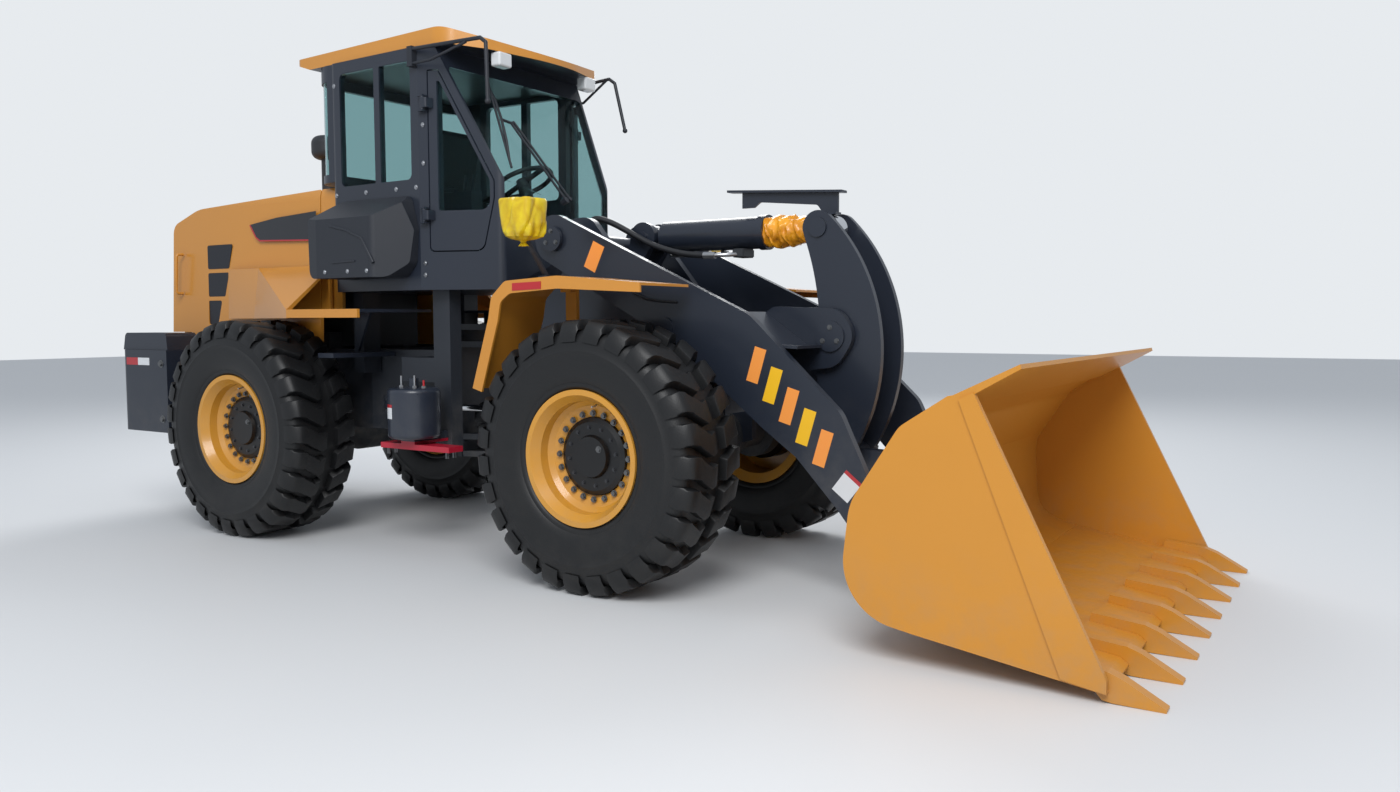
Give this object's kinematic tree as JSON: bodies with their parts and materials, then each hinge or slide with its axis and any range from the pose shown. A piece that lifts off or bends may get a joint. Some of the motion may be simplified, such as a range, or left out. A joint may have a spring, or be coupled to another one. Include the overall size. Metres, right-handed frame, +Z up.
{
  "type": "wheel loader",
  "caption": "Articulated wheel loader with hollow cab, flip-back hood, Z-bar lifting arm, toothed bucket, working cylinders and rolling wheels.",
  "frame": {"origin": "on the ground, below the middle of the machine's length", "axes": "+X forward to the bucket, +Y to the driver's left, +Z up"},
  "size_m": [7.7122, 2.8, 3.3094],
  "materials": {
    "black_plastic": "black moulded plastic",
    "cab_glass": "green tinted safety glass",
    "cast_dark": "dark painted castings",
    "dark_paint": "satin dark grey machine paint",
    "frame_paint": "satin dark grey chassis paint",
    "grille_black": "black grille",
    "lamp_bag_film": "thin yellow plastic film",
    "lamp_lens": "clear lamp lens in a black case",
    "rod_chrome": "hard chrome piston rod",
    "rod_wrap_film": "thin orange-yellow plastic film",
    "seat_vinyl": "black vinyl",
    "tyre_rubber": "black tyre rubber with lugs",
    "yellow_paint": "glossy yellow-orange machine paint"
  },
  "bodies": {
    "rear": {"rear_frame": "frame_paint", "counterweight": "dark_paint", "rear_fenders": "yellow_paint", "side_decks": "dark_paint", "hood_cowl": "yellow_paint", "cab_shell": "dark_paint", "cab_glass": "cab_glass", "cab_roof": "yellow_paint", "seat": "seat_vinyl", "steering_column": "black_plastic", "side_boxes": "black_plastic", "air_tank": "cast_dark", "fuel_tank": "dark_paint", "ladder": "dark_paint", "engine": "cast_dark", "transmission": "cast_dark", "mirrors": "black_plastic", "work_lamps": "lamp_lens", "tail_lamps": "black_plastic", "rear_axle": "cast_dark"},
    "hood": {"hood": "yellow_paint", "hood_louvres": "grille_black", "air_intake": "cast_dark"},
    "door_right": {"cab_door_right": "dark_paint", "door_glass_right": "cab_glass"},
    "door_left": {"cab_door_left": "dark_paint", "door_glass_left": "cab_glass"},
    "front": {"front_frame": "dark_paint", "front_fenders": "yellow_paint", "headlamps": "lamp_lens", "lamp_bags": "lamp_bag_film", "front_axle": "cast_dark"},
    "boom": {"boom": "dark_paint"},
    "bellcrank": {"bellcrank": "dark_paint"},
    "link": {"bucket_link": "dark_paint"},
    "bucket": {"bucket": "yellow_paint", "bucket_teeth": "yellow_paint"},
    "tilt_tube": {"tilt_tube": "dark_paint", "rod_wrap": "rod_wrap_film"},
    "tilt_rod": {"tilt_rod": "rod_chrome", "level_bar": "dark_paint"},
    "lift_tubes": {"lift_tubes": "dark_paint"},
    "lift_rods": {"lift_rods": "rod_chrome"},
    "steer_tube_left": {"steer_tube_left": "dark_paint"},
    "steer_rod_left": {"steer_rod_left": "rod_chrome"},
    "steer_tube_right": {"steer_tube_right": "dark_paint"},
    "steer_rod_right": {"steer_rod_right": "rod_chrome"},
    "wheel_front_left": {"tyre_front_left": "tyre_rubber", "wheel_front_left": "yellow_paint"},
    "wheel_front_right": {"tyre_front_right": "tyre_rubber", "wheel_front_right": "yellow_paint"},
    "wheel_rear_left": {"tyre_rear_left": "tyre_rubber", "wheel_rear_left": "yellow_paint"},
    "wheel_rear_right": {"tyre_rear_right": "tyre_rubber", "wheel_rear_right": "yellow_paint"}
  },
  "joints": [
    {"name": "steering", "type": "hinge", "parent": "rear", "child": "front", "pos_m": [-0.6458, 0, 1], "axis": [0, 0, -1], "range_deg": [-35, 35]},
    {"name": "boom_lift", "type": "hinge", "parent": "front", "child": "boom", "pos_m": [0.2242, 0, 1.975], "axis": [0, -1, 0], "range_deg": [-8, 82.5]},
    {"name": "bucket_tilt", "type": "hinge", "parent": "boom", "child": "bucket", "pos_m": [2.3342, 0, 0.42], "axis": [0, 1, 0], "range_deg": [-45, 120]},
    {"name": "crank_swing", "type": "hinge", "parent": "boom", "child": "bellcrank", "pos_m": [1.9012, 0, 1.392], "axis": [0, 1, 0], "range_deg": [-21.7, 8.2]},
    {"name": "link_swing", "type": "hinge", "parent": "bucket", "child": "link", "pos_m": [2.4742, 0, 0.68], "axis": [0, 1, 0], "range_deg": [-72.1, 27.1]},
    {"name": "tilt_tube_swing", "type": "hinge", "parent": "front", "child": "tilt_tube", "pos_m": [0.5542, 0, 2], "axis": [0, -1, 0], "range_deg": [-9.36, 95.64]},
    {"name": "tilt_rod_slide", "type": "slide", "parent": "tilt_tube", "child": "tilt_rod", "axis": [1, 0, 0], "range_m": [-0.03029, 0.30309]},
    {"name": "lift_tube_swing", "type": "hinge", "parent": "front", "child": "lift_tubes", "pos_m": [-0.1458, 0, 0.98], "axis": [0, -1, 0], "range_deg": [-3.84, 38.63]},
    {"name": "lift_rod_slide", "type": "slide", "parent": "lift_tubes", "child": "lift_rods", "axis": [0.9316, 0, 0.3635], "range_m": [-0.07214, 0.73463]},
    {"name": "steer_tube_swing_left", "type": "hinge", "parent": "rear", "child": "steer_tube_left", "pos_m": [-1.3658, 0.45, 0.9], "axis": [0, 0, 1], "range_deg": [-6.01, 6.01]},
    {"name": "steer_rod_slide_left", "type": "slide", "parent": "steer_tube_left", "child": "steer_rod_left", "axis": [0.9954, -0.0953, 0], "range_m": [-0.225, 0.225]},
    {"name": "steer_tube_swing_right", "type": "hinge", "parent": "rear", "child": "steer_tube_right", "pos_m": [-1.3658, -0.45, 0.9], "axis": [0, 0, 1], "range_deg": [-6.01, 6.01]},
    {"name": "steer_rod_slide_right", "type": "slide", "parent": "steer_tube_right", "child": "steer_rod_right", "axis": [0.9954, 0.0953, 0], "range_m": [-0.225, 0.225]},
    {"name": "roll_front_left", "type": "hinge", "parent": "front", "child": "wheel_front_left", "pos_m": [0.8792, 0.94, 0.745], "axis": [0, 1, 0], "continuous": true},
    {"name": "roll_front_right", "type": "hinge", "parent": "front", "child": "wheel_front_right", "pos_m": [0.8792, -0.94, 0.745], "axis": [0, 1, 0], "continuous": true},
    {"name": "roll_rear_left", "type": "hinge", "parent": "rear", "child": "wheel_rear_left", "pos_m": [-2.1708, 0.94, 0.745], "axis": [0, 1, 0], "continuous": true},
    {"name": "roll_rear_right", "type": "hinge", "parent": "rear", "child": "wheel_rear_right", "pos_m": [-2.1708, -0.94, 0.745], "axis": [0, 1, 0], "continuous": true},
    {"name": "door_right_swing", "type": "hinge", "parent": "rear", "child": "door_right", "pos_m": [-0.6708, -0.765, 2.5], "axis": [0, 0, 1], "range_deg": [-85, 0]},
    {"name": "door_left_swing", "type": "hinge", "parent": "rear", "child": "door_left", "pos_m": [-0.6708, 0.765, 2.5], "axis": [0, 0, 1], "range_deg": [0, 85]},
    {"name": "hood_tilt", "type": "hinge", "parent": "rear", "child": "hood", "pos_m": [-3.5458, 0, 1.37], "axis": [0, -1, 0], "range_deg": [0, 65]}
  ],
  "couplings": [
    {"joint": "crank_swing", "follows": "bucket_tilt", "ratio": -0.18},
    {"joint": "link_swing", "follows": "bucket_tilt", "ratio": -0.6},
    {"joint": "tilt_tube_swing", "follows": "boom_lift", "ratio": 1.158},
    {"joint": "tilt_rod_slide", "follows": "boom_lift", "m_per_rad": 0.2098},
    {"joint": "lift_tube_swing", "follows": "boom_lift", "ratio": 0.467},
    {"joint": "lift_rod_slide", "follows": "boom_lift", "m_per_rad": 0.5095},
    {"joint": "steer_tube_swing_left", "follows": "steering", "ratio": -0.169},
    {"joint": "steer_rod_slide_left", "follows": "steering", "m_per_rad": 0.3667},
    {"joint": "steer_tube_swing_right", "follows": "steering", "ratio": -0.169},
    {"joint": "steer_rod_slide_right", "follows": "steering", "m_per_rad": -0.3667}
  ]
}
